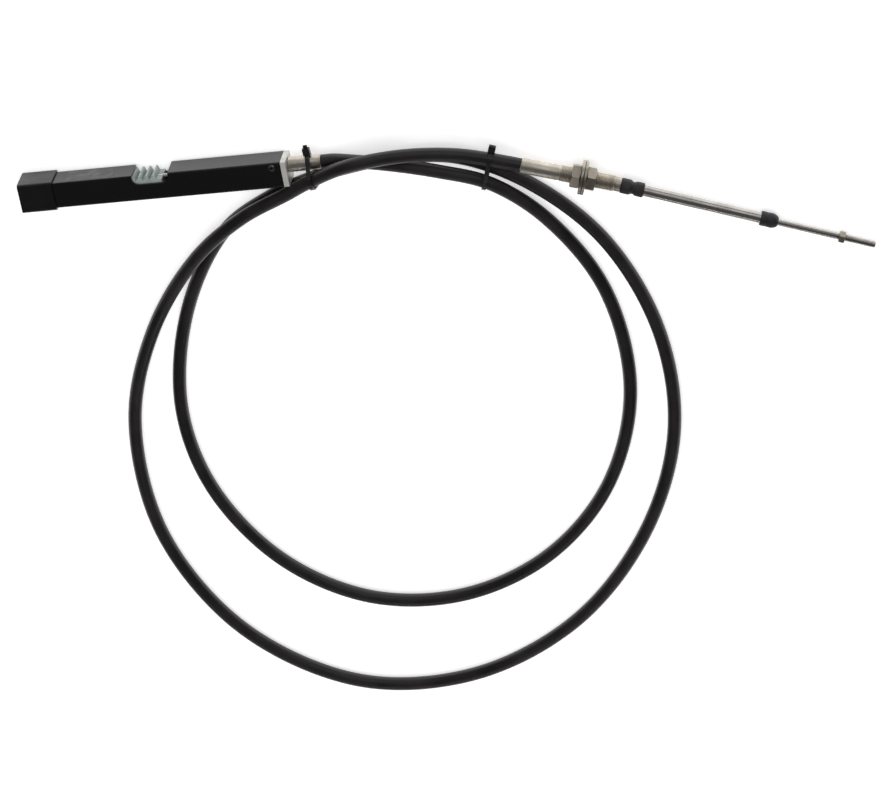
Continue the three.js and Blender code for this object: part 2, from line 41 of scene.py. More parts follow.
# Sizes shared with the solids, in millimetres
GAP = 0.3
TUBE_SIZE = 32
FERRULE_D = 17.4
FERRULE_LENGTH = 38
CONDUIT_D = 15.9
TIE_WIDTH = 4.8
TIE_THICKNESS = 1.3
TIE_CLEARANCE = 0.4
HUB_FERRULE_D = 17.6
HUB_FERRULE_LENGTH = 44.5
HUB_THREAD_D = 19.05
HUB_THREAD_LENGTH = 62.5
HUB_NOSE_D = 17
NUT_FLATS = 25.4
NUT_THICKNESS = 10.5
WASHER_THICKNESS = 3.2
FIRST_NUT_START = 57.2
SWIVEL_FROM_HUB_END = 103
NOSE_SPHERE_R = 14
NOSE_MOUTH_D = 14.6
SLEEVE_D = 12.7
SLEEVE_END = 185
BOOT_END = 38.2
ROD_D = 7.94
ROD_START = 40
ROD_END = 306.9
ROD_NUT_MIDDLE = 268
ROD_NUT_FLATS = 12.7
ROD_NUT_THICKNESS = 6.75
TIE_HEAD = 8.2
TIE_HEAD_DEPTH = 6
SCREW_FROM_FACE = 16
SCREW_OFFSET = 10.2
BOOT_LOBE_R = 8.85
BOOT_WAIST_R = 7
WIPER_START = 173.3
WIPER_R = 8.5

# Fine forms that the solids leave out or simplify, in millimetres
CRIMP_DEPTH = 0.1
HUB_THREAD_PITCH = 1.5875
HUB_THREAD_DEPTH = 0.85
ROD_THREAD_START = 262
ROD_THREAD_PITCH = 1.0583
ROD_THREAD_DEPTH = 0.55
BOOT_TAIL_R = 8.45
RECESS_FLOOR = 1.2
RECESS_HALF_WIDTH = 0.45
RECESS_HALF_LENGTH = 2.1
STRAP_LIP = 0.9
STRAP_LIP_SLOPE = 0.25
LABEL_START = -260
LABEL_END = -204
LABEL_HALF_WIDTH = 11.5
LABEL_THICKNESS = 0.09

# The turn of the screws' recess in radians, and the strap's groove as a share of its thickness
RECESS_TURN = 0.4
STRAP_DIP = 0.175

# Places of the groups of pieces
INLET_END = (-128.1, 82.5, 18)
PLATE_FACE = (-166.4, 77.5, 18)
OUTLET_END = (99.4, 57.2, 23.3)
HUB_YAW = -19.53
SLEEVE_YAW = -22.01
ARM_DROP = 2.594

# The conduit's centreline, as in the solid model, in metres
CONDUIT_ROUTE = [
    (-0.1278, 0.0825, 0.018), (-0.114, 0.0825, 0.0181), (-0.090, 0.081, 0.0228),
    (-0.052, 0.0755, 0.0264), (0.004, 0.060, 0.025), (0.060, 0.036, 0.0195),
    (0.116, -0.020, 0.0105), (0.167, -0.117, 0.0081), (0.176, -0.251, 0.008),
    (0.129, -0.377, 0.008), (0.042, -0.466, 0.008), (-0.066, -0.509, 0.008),
    (-0.176, -0.502, 0.008), (-0.271, -0.444, 0.008), (-0.337, -0.342, 0.008),
    (-0.355, -0.228, 0.008), (-0.322, -0.096, 0.008), (-0.258, 0.002, 0.008),
    (-0.198, 0.0395, 0.0084), (-0.148, 0.058, 0.0096), (-0.096, 0.069, 0.0092),
    (-0.039, 0.0745, 0.0086), (0.028, 0.068, 0.0104), (0.103, 0.027, 0.0094),
    (0.175, -0.052, 0.008), (0.220, -0.173, 0.008), (0.219, -0.308, 0.008),
    (0.164, -0.443, 0.008), (0.062, -0.558, 0.008), (-0.072, -0.621, 0.008),
    (-0.211, -0.618, 0.008), (-0.336, -0.537, 0.008), (-0.410, -0.399, 0.008),
    (-0.415, -0.243, 0.0085), (-0.369, -0.121, 0.014), (-0.296, -0.024, 0.0235),
    (-0.232, 0.023, 0.0245), (-0.174, 0.049, 0.026), (-0.146, 0.063, 0.0295),
    (-0.098, 0.083, 0.0398), (-0.033, 0.089, 0.0374), (0.030, 0.0805, 0.030), (0.0862, 0.0619, 0.0239),
    (0.0991, 0.0573, 0.0233),
]
PATH_STEP = 0.004
CONDUIT_SIDES = 28

LEFT_TIE = {
    "name": "tie_left_strap", "node": "cable_tie_left",
    "x": -141.3, "y": 70, "heading": 4, "tail": 4}
RIGHT_TIE = {
    "name": "tie_right_strap", "node": "cable_tie_right",
    "x": 60, "y": 54, "heading": -20, "tail": 0.8}
TIE_REACH = 55


# Shader helpers
def principled(name, color, metallic, roughness):
    material = bpy.data.materials.new(name)
    material.use_nodes = True
    shader = material.node_tree.nodes["Principled BSDF"]
    shader.inputs["Base Color"].default_value = (*color, 1)
    shader.inputs["Metallic"].default_value = metallic
    shader.inputs["Roughness"].default_value = roughness
    return material, shader


def noise_field(material, scale, stretch=(1, 1, 1), detail=3):
    """A noise value over the object's own coordinates, stretched along chosen axes."""
    nodes = material.node_tree.nodes
    links = material.node_tree.links
    place = nodes.new("ShaderNodeTexCoord")
    mapping = nodes.new("ShaderNodeMapping")
    mapping.inputs["Scale"].default_value = stretch
    noise = nodes.new("ShaderNodeTexNoise")
    noise.inputs["Scale"].default_value = scale
    noise.inputs["Detail"].default_value = detail
    links.new(place.outputs["Object"], mapping.inputs["Vector"])
    links.new(mapping.outputs["Vector"], noise.inputs["Vector"])
    return noise.outputs["Fac"]


def ranged(material, value, low, high, start=0.3, end=0.7):
    """The value mapped from start..end to low..high."""
    node = material.node_tree.nodes.new("ShaderNodeMapRange")
    node.inputs["From Min"].default_value = start
    node.inputs["From Max"].default_value = end
    node.inputs["To Min"].default_value = low
    node.inputs["To Max"].default_value = high
    material.node_tree.links.new(value, node.inputs["Value"])
    return node.outputs["Result"]


def ramp(material, value, stops):
    """Colours blended by the value; stops are (position, colour)."""
    node = material.node_tree.nodes.new("ShaderNodeValToRGB")
    elements = node.color_ramp.elements
    elements[0].position, elements[0].color = stops[0][0], (*stops[0][1], 1)
    elements[1].position, elements[1].color = stops[-1][0], (*stops[-1][1], 1)
    for position, color in stops[1:-1]:
        element = elements.new(position)
        element.color = (*color, 1)
    material.node_tree.links.new(value, node.inputs["Fac"])
    return node.outputs["Color"]


def drive(material, shader, socket, value):
    material.node_tree.links.new(value, shader.inputs[socket])


def bump(material, shader, height, distance, strength=1.0):
    node = material.node_tree.nodes.new("ShaderNodeBump")
    node.inputs["Strength"].default_value = strength
    node.inputs["Distance"].default_value = distance
    material.node_tree.links.new(height, node.inputs["Height"])
    material.node_tree.links.new(node.outputs["Normal"], shader.inputs["Normal"])


# Materials
def box_paint():
    material, shader = principled("box_paint", (0.0026, 0.0023, 0.0025), 0, 0.16)
    shader.inputs["Specular IOR Level"].default_value = 0.55
    smears = noise_field(material, 28, (0.35, 1, 1), 4)
    drive(material, shader, "Roughness", ranged(material, smears, 0.1, 0.26))
    orange_peel = noise_field(material, 420)
    bump(material, shader, orange_peel, 0.00006, 0.35)
    return material


def cap_plastic():
    material, shader = principled("cap_plastic", (0.0032, 0.0029, 0.003), 0, 0.3)
    wear = noise_field(material, 45, (0.6, 1, 1), 5)
    drive(material, shader, "Roughness", ranged(material, wear, 0.22, 0.4))
    grain = noise_field(material, 900)
    bump(material, shader, grain, 0.00008, 0.4)
    return material


def plate_casting():
    material, shader = principled("plate_casting", (0.6, 0.6, 0.59), 0.6, 0.46)
    patches = noise_field(material, 70, (1, 1, 1), 5)
    drive(material, shader, "Base Color", ramp(material, patches, [
        (0.3, (0.56, 0.55, 0.53)), (0.7, (0.78, 0.77, 0.74))]))
    drive(material, shader, "Roughness", ranged(material, patches, 0.5, 0.36))
    bump(material, shader, noise_field(material, 650, (1, 1, 1), 4), 0.00012, 0.5)
    return material


def turned_metal(name, dark, light, low, high, lines=0.5):
    """Metal turned on a lathe: fine rings round the piece's own X axis."""
    material, shader = principled(name, light, 1, (low + high) / 2)
    tint = noise_field(material, 60, (1, 0.4, 0.4), 4)
    drive(material, shader, "Base Color", ramp(material, tint, [(0.3, dark), (0.7, light)]))
    rings = noise_field(material, 900, (1, 0.02, 0.02), 2)
    drive(material, shader, "Roughness", ranged(material, tint, high, low))
    bump(material, shader, rings, 0.00003, lines)
    return material


def rack_steel():
    material, shader = principled("rack_steel", (0.4, 0.45, 0.44), 0.35, 0.5)
    film = noise_field(material, 85, (1, 1, 1), 5)
    drive(material, shader, "Base Color", ramp(material, film, [
        (0.32, (0.31, 0.35, 0.34)), (0.6, (0.38, 0.43, 0.42)), (0.75, (0.42, 0.47, 0.45))]))
    drive(material, shader, "Roughness", ranged(material, film, 0.42, 0.56))
    bump(material, shader, noise_field(material, 700, (0.15, 1, 0.15), 3), 0.00005, 0.5)
    return material


def screw_steel():
    material, shader = principled("screw_steel", (0.1, 0.1, 0.1), 1, 0.3)
    grime = noise_field(material, 260, (1, 1, 1), 4)
    drive(material, shader, "Base Color", ramp(material, grime, [
        (0.35, (0.06, 0.06, 0.06)), (0.7, (0.24, 0.24, 0.23))]))
    drive(material, shader, "Roughness", ranged(material, grime, 0.24, 0.42))
    return material


def conduit_jacket():
    material, shader = principled("conduit_jacket", (0.012, 0.0105, 0.012), 0, 0.42)
    scuffs = noise_field(material, 26, (1, 1, 1), 6)
    drive(material, shader, "Base Color", ramp(material, scuffs, [
        (0.35, (0.0062, 0.005, 0.0058)), (0.68, (0.0125, 0.0102, 0.0118))]))
    drive(material, shader, "Roughness", ranged(material, scuffs, 0.32, 0.48))
    bump(material, shader, noise_field(material, 1100, (1, 1, 1), 3), 0.00008, 0.35)
    return material


def tie_nylon():
    material, shader = principled("tie_nylon", (0.006, 0.006, 0.0065), 0, 0.25)
    marks = noise_field(material, 160, (1, 1, 1), 4)
    drive(material, shader, "Roughness", ranged(material, marks, 0.18, 0.36))
    bump(material, shader, marks, 0.00005, 0.4)
    return material


def boot_rubber():
    material, shader = principled("boot_rubber", (0.012, 0.0105, 0.012), 0, 0.5)
    bloom = noise_field(material, 120, (1, 1, 1), 5)
    drive(material, shader, "Base Color", ramp(material, bloom, [
        (0.35, (0.009, 0.008, 0.009)), (0.7, (0.02, 0.018, 0.02))]))
    drive(material, shader, "Roughness", ranged(material, bloom, 0.4, 0.58))
    bump(material, shader, noise_field(material, 1400, (1, 1, 1), 2), 0.00006, 0.4)
    return material


def label_film():
    material, shader = principled("label_film", (0.16, 0.16, 0.165), 0.35, 0.34)
    worn = noise_field(material, 150, (0.5, 1, 1), 6)
    drive(material, shader, "Base Color", ramp(material, worn, [
        (0.35, (0.03, 0.03, 0.031)), (0.48, (0.06, 0.06, 0.062)),
        (0.62, (0.11, 0.11, 0.113))]))
    drive(material, shader, "Roughness", ranged(material, worn, 0.28, 0.46))
    return material


def floor_paper():
    material, shader = principled("floor_paper", (0.9, 0.9, 0.9), 0, 0.9)
    shader.inputs["Specular IOR Level"].default_value = 0.1
    mottle = noise_field(material, 6, (1, 1, 1), 2)
    drive(material, shader, "Base Color", ramp(material, mottle, [
        (0.3, (0.89, 0.89, 0.89)), (0.7, (0.91, 0.91, 0.91))]))
    shader.inputs["Emission Color"].default_value = (1, 1, 1, 1)
    shader.inputs["Emission Strength"].default_value = 0.5
    return material


MATERIALS = {
    "box_paint": box_paint(),
    "cap_plastic": cap_plastic(),
    "plate_casting": plate_casting(),
    "zinc_plate": turned_metal("zinc_plate", (0.36, 0.325, 0.27), (0.58, 0.53, 0.45), 0.26, 0.42, 0.3),
    "rack_steel": rack_steel(),
    "nickel_plate": turned_metal("nickel_plate", (0.56, 0.515, 0.445), (0.76, 0.705, 0.62), 0.34, 0.5),
    "stainless": turned_metal("stainless", (0.44, 0.425, 0.40), (0.58, 0.56, 0.53), 0.2, 0.32),
    "conduit_jacket": conduit_jacket(),
    "tie_nylon": tie_nylon(),
    "boot_rubber": boot_rubber(),
}


# Mesh helpers
def new_piece(name, vertices, faces, slot, place=Matrix.Identity(4), sharp=35):
    mesh = bpy.data.meshes.new(name)
    mesh.from_pydata(vertices, [], faces)
    bm = bmesh.new()
    bm.from_mesh(mesh)
    bmesh.ops.remove_doubles(bm, verts=bm.verts, dist=1e-7)
    bmesh.ops.recalc_face_normals(bm, faces=bm.faces)
    bm.to_mesh(mesh)
    bm.free()
    mesh.polygons.foreach_set("use_smooth", [True] * len(mesh.polygons))
    mesh.set_sharp_from_angle(angle=math.radians(sharp))
    piece = bpy.data.objects.new(name, mesh)
    bpy.context.scene.collection.objects.link(piece)
    piece.matrix_world = place
    mesh.materials.append(MATERIALS[slot])
    return piece


def soften_edges(piece, width, angle=32, segments=2):
    bevel = piece.modifiers.new("Bevel", "BEVEL")
    bevel.width = width * MM
    bevel.segments = segments
    bevel.limit_method = "ANGLE"
    bevel.angle_limit = math.radians(angle)
    bevel.use_clamp_overlap = True
    normals = piece.modifiers.new("Normals", "WEIGHTED_NORMAL")
    normals.keep_sharp = False


def dress_node(name, slot, width=None, angle=32):
    """Gives a CAD node its material and, where a width is given, rounded edges."""
    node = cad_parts[name]
    node.data.materials.clear()
    node.data.materials.append(MATERIALS[slot])
    node.data.polygons.foreach_set("use_smooth", [True] * len(node.data.polygons))
    if width is None:
        return node
    weld = node.modifiers.new("Weld", "WELD")
    weld.merge_threshold = 1e-6
    soften_edges(node, width, angle)
    return node


def turned(profile, sides):
    """A profile of (distance along X, radius), turned about X; millimetres in, metres out."""
    vertices = []
    for along, radius in profile:
        for side in range(sides):
            angle = 2 * math.pi * side / sides
            vertices.append((
                along * MM, radius * MM * math.cos(angle), radius * MM * math.sin(angle)))
    faces = []
    rows = len(profile)
    for row in range(rows - 1):
        for side in range(sides):
            beside = (side + 1) % sides
            faces.append((
                row * sides + side, row * sides + beside,
                (row + 1) * sides + beside, (row + 1) * sides + side))
    return vertices, faces


def rounded(profile, radius, steps=4):
    """The profile with each inner corner rounded by a small arc."""
    out = [profile[0]]
    for before, corner, after in zip(profile, profile[1:], profile[2:]):
        c = Vector(corner)
        a = Vector(before) - c
        b = Vector(after) - c
        reach = min(radius, a.length * 0.45, b.length * 0.45)
        start = c + a.normalized() * reach
        end = c + b.normalized() * reach
        for step in range(steps + 1):
            t = step / steps
            out.append(tuple((1 - t) ** 2 * start + 2 * t * (1 - t) * c + t ** 2 * end))
    out.append(profile[-1])
    return out


def threaded_profile(start, end, major, pitch, depth, sides, samples=8, chamfer=1.2):
    """A screw thread as a grid of points along X and round it; millimetres in, metres out."""
    rows = int((end - start) / pitch * samples)
    vertices = []
    for row in range(rows + 1):
        along = start + (end - start) * row / rows
        from_end = min(along - start, end - along)
        cut = max(0.0, depth * (1 - from_end / chamfer))
        for side in range(sides):
            angle = 2 * math.pi * side / sides
            phase = (along / pitch - side / sides) % 1.0
            ridge = 1 - abs(2 * phase - 1)
            crest = min(1.0, max(0.0, (ridge - 0.08) / 0.8))
            radius = min(major - depth * (1 - crest), major - cut)
            vertices.append((
                along * MM, radius * MM * math.cos(angle), radius * MM * math.sin(angle)))
    faces = []
    for row in range(rows):
        for side in range(sides):
            beside = (side + 1) % sides
            faces.append((
                row * sides + side, row * sides + beside,
                (row + 1) * sides + beside, (row + 1) * sides + side))
    return vertices, faces


def merged(*parts):
    vertices = []
    faces = []
    for some_vertices, some_faces in parts:
        start = len(vertices)
        vertices += some_vertices
        faces += [tuple(start + index for index in face) for face in some_faces]
    return vertices, faces


def aimed(place, yaw, drop):
    """A frame at a place in millimetres, its X axis along a heading and a drop below level."""
    turn = Matrix.Rotation(math.radians(yaw), 4, "Z") @ Matrix.Rotation(math.radians(drop), 4, "Y")
    return Matrix.Translation(Vector(place) * MM) @ turn


BOX_FRAME = aimed(PLATE_FACE, 0, 0)
FERRULE_FRAME = aimed((PLATE_FACE[0], INLET_END[1], INLET_END[2]), 0, 0)
HUB_FRAME = aimed(OUTLET_END, HUB_YAW, ARM_DROP)
SWIVEL_CENTRE = HUB_FRAME @ Vector((SWIVEL_FROM_HUB_END * MM, 0, 0))
ARM_FRAME = aimed(tuple(SWIVEL_CENTRE / MM), SLEEVE_YAW, ARM_DROP)


# Conduit
def spline_points(route):
    """Points of the centripetal Catmull-Rom curve through the route."""
    points = [Vector(p) for p in route]
    first = points[0] * 2 - points[1]
    last = points[-1] * 2 - points[-2]
    padded = [first, *points, last]
    out = []
    for a, b, c, d in zip(padded, padded[1:], padded[2:], padded[3:]):
        ab = max((b - a).length ** 0.5, 1e-4)
        bc = max((c - b).length ** 0.5, 1e-4)
        cd = max((d - c).length ** 0.5, 1e-4)
        start = ((b - a) / ab - (c - a) / (ab + bc) + (c - b) / bc) * bc
        end = ((c - b) / bc - (d - b) / (bc + cd) + (d - c) / cd) * bc
        for step in range(40):
            t = step / 40
            out.append(
                (2 * t ** 3 - 3 * t ** 2 + 1) * b + (t ** 3 - 2 * t ** 2 + t) * start
                + (3 * t ** 2 - 2 * t ** 3) * c + (t ** 3 - t ** 2) * end)
    out.append(points[-1])
    return out


def evenly_spaced(points, step):
    total = sum((b - a).length for a, b in zip(points, points[1:]))
    count = round(total / step)
    spacing = total / count
    out = [points[0]]
    walked = 0.0
    for a, b in zip(points, points[1:]):
        length = (b - a).length
        while len(out) < count and walked + length >= spacing * len(out):
            out.append(a.lerp(b, (spacing * len(out) - walked) / length))
        walked += length
    out.append(points[-1])
    return out, total


def tube_along(points, radius, sides):
    """A round tube along the points with closed ends, its sides kept from twisting."""
    tangents = [
        (points[min(i + 1, len(points) - 1)] - points[max(i - 1, 0)]).normalized()
        for i in range(len(points))]
    side = tangents[0].cross(Vector((0, 0, 1))).normalized()
    vertices = []
    for point, tangent in zip(points, tangents):
        side = (side - tangent * side.dot(tangent)).normalized()
        up = tangent.cross(side)
        for i in range(sides):
            angle = 2 * math.pi * i / sides
            vertices.append(tuple(
                point + side * radius * math.cos(angle) + up * radius * math.sin(angle)))
    faces = []
    for row in range(len(points) - 1):
        for i in range(sides):
            beside = (i + 1) % sides
            faces.append((
                row * sides + i, row * sides + beside,
                (row + 1) * sides + beside, (row + 1) * sides + i))
    faces.append(tuple(range(sides)))
    faces.append(tuple(len(vertices) - sides + i for i in range(sides)))
    return vertices, faces


conduit_points, conduit_length = evenly_spaced(spline_points(CONDUIT_ROUTE), PATH_STEP)


def make_conduit():
    vertices, faces = tube_along(conduit_points, CONDUIT_D / 2 * MM, CONDUIT_SIDES)
    piece = new_piece("conduit_tube", vertices, faces, "conduit_jacket")
    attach(piece, "cable")
    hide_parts("conduit")
    return piece


# Cable ties
def tie_frame(tie):
    return aimed((tie["x"], tie["y"], 0), tie["heading"], 0)


def strand_circles(tie):
    """Where the strands pass the tie, as (across, up, radius) in its own plane, in metres."""
    into_tie = tie_frame(tie).inverted()
    local = [into_tie @ point for point in conduit_points]
    circles = []
    for offset in (-TIE_WIDTH / 2 * MM, 0, TIE_WIDTH / 2 * MM):
        for a, b in zip(local, local[1:]):
            if (a.x - offset) * (b.x - offset) > 0:
                continue
            crossing = a.lerp(b, (offset - a.x) / (b.x - a.x))
            if abs(crossing.y) < TIE_REACH * MM:
                slant = abs(b.x - a.x) / (b - a).length
                circles.append((crossing.y, crossing.z, CONDUIT_D / 2 * MM / slant))
    return circles


def strap_line(circles, clearance, sides=120):
    """Points that a tight strap follows round the circles."""
    out = []
    for side in range(sides):
        angle = 2 * math.pi * side / sides
        n = Vector((math.cos(angle), math.sin(angle)))
        across, up, radius = max(circles, key=lambda c: c[0] * n.x + c[1] * n.y + c[2])
        out.append(Vector((across, up)) + n * (radius + clearance * MM))
    return out


def box_mesh(low, high):
    x0, y0, z0 = low
    x1, y1, z1 = high
    vertices = [
        (x0, y0, z0), (x1, y0, z0), (x1, y1, z0), (x0, y1, z0),
        (x0, y0, z1), (x1, y0, z1), (x1, y1, z1), (x0, y1, z1)]
    faces = [(0, 3, 2, 1), (4, 5, 6, 7), (0, 1, 5, 4), (1, 2, 6, 5), (2, 3, 7, 6), (3, 0, 4, 7)]
    return vertices, faces


def make_tie(tie, extra_circles=()):
    circles = strand_circles(tie) + list(extra_circles)
    inner = strap_line(circles, TIE_CLEARANCE)
    outer = strap_line(circles, TIE_CLEARANCE + TIE_THICKNESS)
    half = TIE_WIDTH / 2 * MM
    lip = half - STRAP_LIP * MM
    groove = lip - STRAP_LIP_SLOPE * MM
    count = len(inner)
    vertices = []
    for a, b in zip(inner, outer):
        dip = a.lerp(b, 1 - STRAP_DIP)
        vertices += [
            (-half, a.x, a.y), (half, a.x, a.y), (half, b.x, b.y), (lip, b.x, b.y),
            (groove, dip.x, dip.y), (-groove, dip.x, dip.y), (-lip, b.x, b.y), (-half, b.x, b.y)]
    corners = len(vertices) // count
    faces = []
    for i in range(count):
        j = (i + 1) % count
        for k in range(corners):
            m = (k + 1) % corners
            faces.append((
                i * corners + k, j * corners + k, j * corners + m, i * corners + m))
    strap = new_piece(tie["name"], vertices, faces, "tie_nylon", tie_frame(tie), 30)
    head = make_tie_head(tie, circles)
    for piece in (strap, head):
        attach(piece, "cable")
    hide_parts(tie["node"])
    return [strap, head]


def make_tie_head(tie, circles):
    across, up, radius = max(circles, key=lambda c: c[0] + c[2])
    start = across + radius + (TIE_CLEARANCE + TIE_THICKNESS / 2) * MM
    end = start + TIE_HEAD * MM
    half = TIE_HEAD / 2 * MM
    half_depth = TIE_HEAD_DEPTH / 2 * MM
    half_strap = TIE_WIDTH / 2 * MM
    half_tail = TIE_THICKNESS / 2 * MM
    body = box_mesh((-half, start, up - half_depth), (half, end, up + half_depth))
    collar = box_mesh(
        (-3.2 * MM, end - 0.3 * MM, up - 1.9 * MM), (3.2 * MM, end + 0.7 * MM, up + 1.9 * MM))
    tail = box_mesh(
        (-half_strap, end, up - half_tail),
        (half_strap, end + tie["tail"] * MM, up + half_tail))
    ribs = [
        box_mesh(
            (-1.5 * MM, end + (1.0 + 0.9 * i) * MM, up + 0.6 * MM),
            (1.5 * MM, end + (1.4 + 0.9 * i) * MM, up + 0.85 * MM))
        for i in range(round(tie["tail"]) - 1)]
    vertices, faces = merged(body, collar, tail, *ribs)
    head = new_piece(tie["name"].replace("strap", "head"), vertices, faces, "tie_nylon",
                     tie_frame(tie), 30)
    soften_edges(head, 0.35)
    return head


# Rack box
def make_screws():
    """Pan-head screws with a cross recess, on the top face and low on the far face."""
    pieces = []
    material = screw_steel()
    head = rounded([(0.3, 1.6), (0.3, 4.0), (1.3, 4.0), (2.3, 2.9), (2.7, 1.7), (2.7, 0.0)], 0.5)
    places = ((0, SCREW_OFFSET), (math.pi / 2, -SCREW_OFFSET))
    wide = RECESS_HALF_WIDTH * MM
    reach = RECESS_HALF_LENGTH * MM
    recess_floor = RECESS_FLOOR * MM
    recess_top = 4 * MM
    for index, (turn, across) in enumerate(places):
        vertices, faces = turned(head, 40)
        place = (BOX_FRAME @ Matrix.Rotation(turn, 4, "X")
                 @ Matrix.Translation(Vector((-SCREW_FROM_FACE, across, TUBE_SIZE / 2)) * MM)
                 @ Matrix.Rotation(-math.pi / 2, 4, "Y") @ Matrix.Rotation(RECESS_TURN, 4, "X"))
        piece = new_piece(f"plate_screw_{index + 1}", vertices, faces, "zinc_plate", place, 40)
        cutter = new_cutter(piece.name + "_recess", [
            box_mesh((recess_floor, -wide, -reach), (recess_top, wide, reach)),
            box_mesh((recess_floor, -reach, -wide), (recess_top, reach, wide))], place)
        cut_away(piece, cutter)
        piece.data.materials.clear()
        piece.data.materials.append(material)
        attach(piece, "cable")
        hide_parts(f"end_plate_screw_{index + 1}")
        pieces.append(piece)
    return pieces


def new_cutter(name, meshes, place):
    vertices, faces = merged(*meshes)
    mesh = bpy.data.meshes.new(name)
    mesh.from_pydata(vertices, [], faces)
    cutter = bpy.data.objects.new(name, mesh)
    bpy.context.scene.collection.objects.link(cutter)
    cutter.matrix_world = place
    return cutter


def cut_away(piece, cutter):
    """Cuts the cutter's shape out of the piece's mesh and removes the cutter."""
    cut = piece.modifiers.new("Cut", "BOOLEAN")
    cut.operation = "DIFFERENCE"
    cut.solver = "EXACT"
    cut.use_self = True
    cut.object = cutter
    apply_modifiers(piece)
    bpy.data.objects.remove(cutter)
    piece.data.set_sharp_from_angle(angle=math.radians(40))


def apply_modifiers(piece):
    bpy.context.view_layer.update()
    graph = bpy.context.evaluated_depsgraph_get()
    mesh = bpy.data.meshes.new_from_object(piece.evaluated_get(graph))
    piece.modifiers.clear()
    piece.data = mesh


def make_label():
    """A plain worn film on the windowed face, with no lettering."""
    face = TUBE_SIZE / 2
    low = (LABEL_START, face, -LABEL_HALF_WIDTH)
    high = (LABEL_END, face + LABEL_THICKNESS, LABEL_HALF_WIDTH)
    vertices, faces = box_mesh([v * MM for v in low], [v * MM for v in high])
    piece = new_piece("face_label", vertices, faces, "box_paint", BOX_FRAME, 30)
    piece.data.materials.clear()
    piece.data.materials.append(label_film())
    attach(piece, "cable")
    return piece


def make_inlet_ferrule():
    end = GAP + FERRULE_LENGTH
    r = FERRULE_D / 2
    crimp = r - CRIMP_DEPTH
    outside = rounded([
        (GAP, 6), (GAP, r - 0.5), (GAP + 0.5, r), (10, r), (10.6, crimp), (12.2, crimp),
        (12.8, r), (24, r), (24.6, crimp), (26.2, crimp), (26.8, r), (end - 2.6, r),
        (end - 2.1, r - 0.35), (end - 1.7, r), (end - 0.5, r), (end, r - 0.5), (end, 7.0),
        (end - 0.8, 6.6)], 0.3)
    vertices, faces = turned([(-15, 3.5), (-15, 6), (GAP, 6)] + outside + [(end - 0.8, 3.5)], 64)
    piece = new_piece("inlet_ferrule_turned", vertices, faces, "nickel_plate", FERRULE_FRAME, 40)
    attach(piece, "cable")
    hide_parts("inlet_ferrule")
    return piece


# Hub
def make_hub():
    """Crimped ferrule, screw thread and nose in one piece, open at the swivel's end."""
    r = HUB_FERRULE_D / 2
    crimp = r - CRIMP_DEPTH
    thread = HUB_THREAD_D / 2
    thread_end = HUB_FERRULE_LENGTH + HUB_THREAD_LENGTH
    nose = HUB_NOSE_D / 2
    mouth = NOSE_MOUTH_D / 2
    centre = SWIVEL_FROM_HUB_END
    nose_end = centre + math.sqrt(NOSE_SPHERE_R ** 2 - nose ** 2)
    mouth_end = centre + math.sqrt(NOSE_SPHERE_R ** 2 - mouth ** 2)
    ferrule = rounded([
        (0.8, 6.6), (0, 7.2), (0, r - 0.6), (0.6, r), (13, r), (13.6, crimp), (15.4, crimp),
        (16, r), (29, r), (29.6, crimp), (31.4, crimp), (32, r), (HUB_FERRULE_LENGTH - 2, r),
        (HUB_FERRULE_LENGTH - 1.2, r - 0.5), (HUB_FERRULE_LENGTH, r - 0.5),
        (HUB_FERRULE_LENGTH, thread - 1.0)], 0.3)
    screw = threaded_profile(
        HUB_FERRULE_LENGTH, thread_end, thread, HUB_THREAD_PITCH, HUB_THREAD_DEPTH, 64)
    front = rounded([
        (thread_end, thread - HUB_THREAD_DEPTH), (thread_end, nose - 0.4),
        (thread_end + 0.6, nose - 0.4), (thread_end + 1.2, nose), (nose_end - 0.4, nose),
        (nose_end, nose - 0.3), (mouth_end, mouth), (centre + 4, 6.5), (centre, 6.5)], 0.3)
    vertices, faces = merged(
        turned([(0.8, 3.5)] + ferrule, 64), screw, turned(front + [(centre - 6, 3.5)], 64))
    piece = new_piece("hub_turned", vertices, faces, "nickel_plate", HUB_FRAME, 40)
    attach(piece, "cable")
    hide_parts("threaded_hub")
    return piece


def hex_nut(name, flats, thickness, bore, start, slot, place, node, body, chamfer):
    """A hexagonal nut with chamfered corners on both faces and a countersunk bore."""
    sides = 72
    sink = 0.9
    chamfer_slope = 0.55
    end = start + thickness
    columns = []
    for i in range(sides):
        angle = 2 * math.pi * i / sides
        full = flats / 2 / math.cos(angle % (math.pi / 3) - math.pi / 6)
        face = min(full, flats / 2 * 0.985)
        back = (full - face) * chamfer_slope
        outline = [
            (start, bore / 2 + sink), (start, face), (start + back, full), (end - back, full),
            (end, face), (end, bore / 2 + sink), (end - sink, bore / 2), (start + sink, bore / 2)]
        columns.append([
            (along * MM, radius * MM * math.cos(angle), radius * MM * math.sin(angle))
            for along, radius in outline])
    rows = len(columns[0])
    faces = []
    for i in range(sides):
        j = (i + 1) % sides
        for k in range(rows):
            m = (k + 1) % rows
            faces.append((i * rows + k, j * rows + k, j * rows + m, i * rows + m))
    vertices = [point for column in columns for point in column]
    piece = new_piece(name, vertices, faces, slot, place, 28)
    soften_edges(piece, chamfer, 28)
    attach(piece, body)
    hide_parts(node)
    return piece


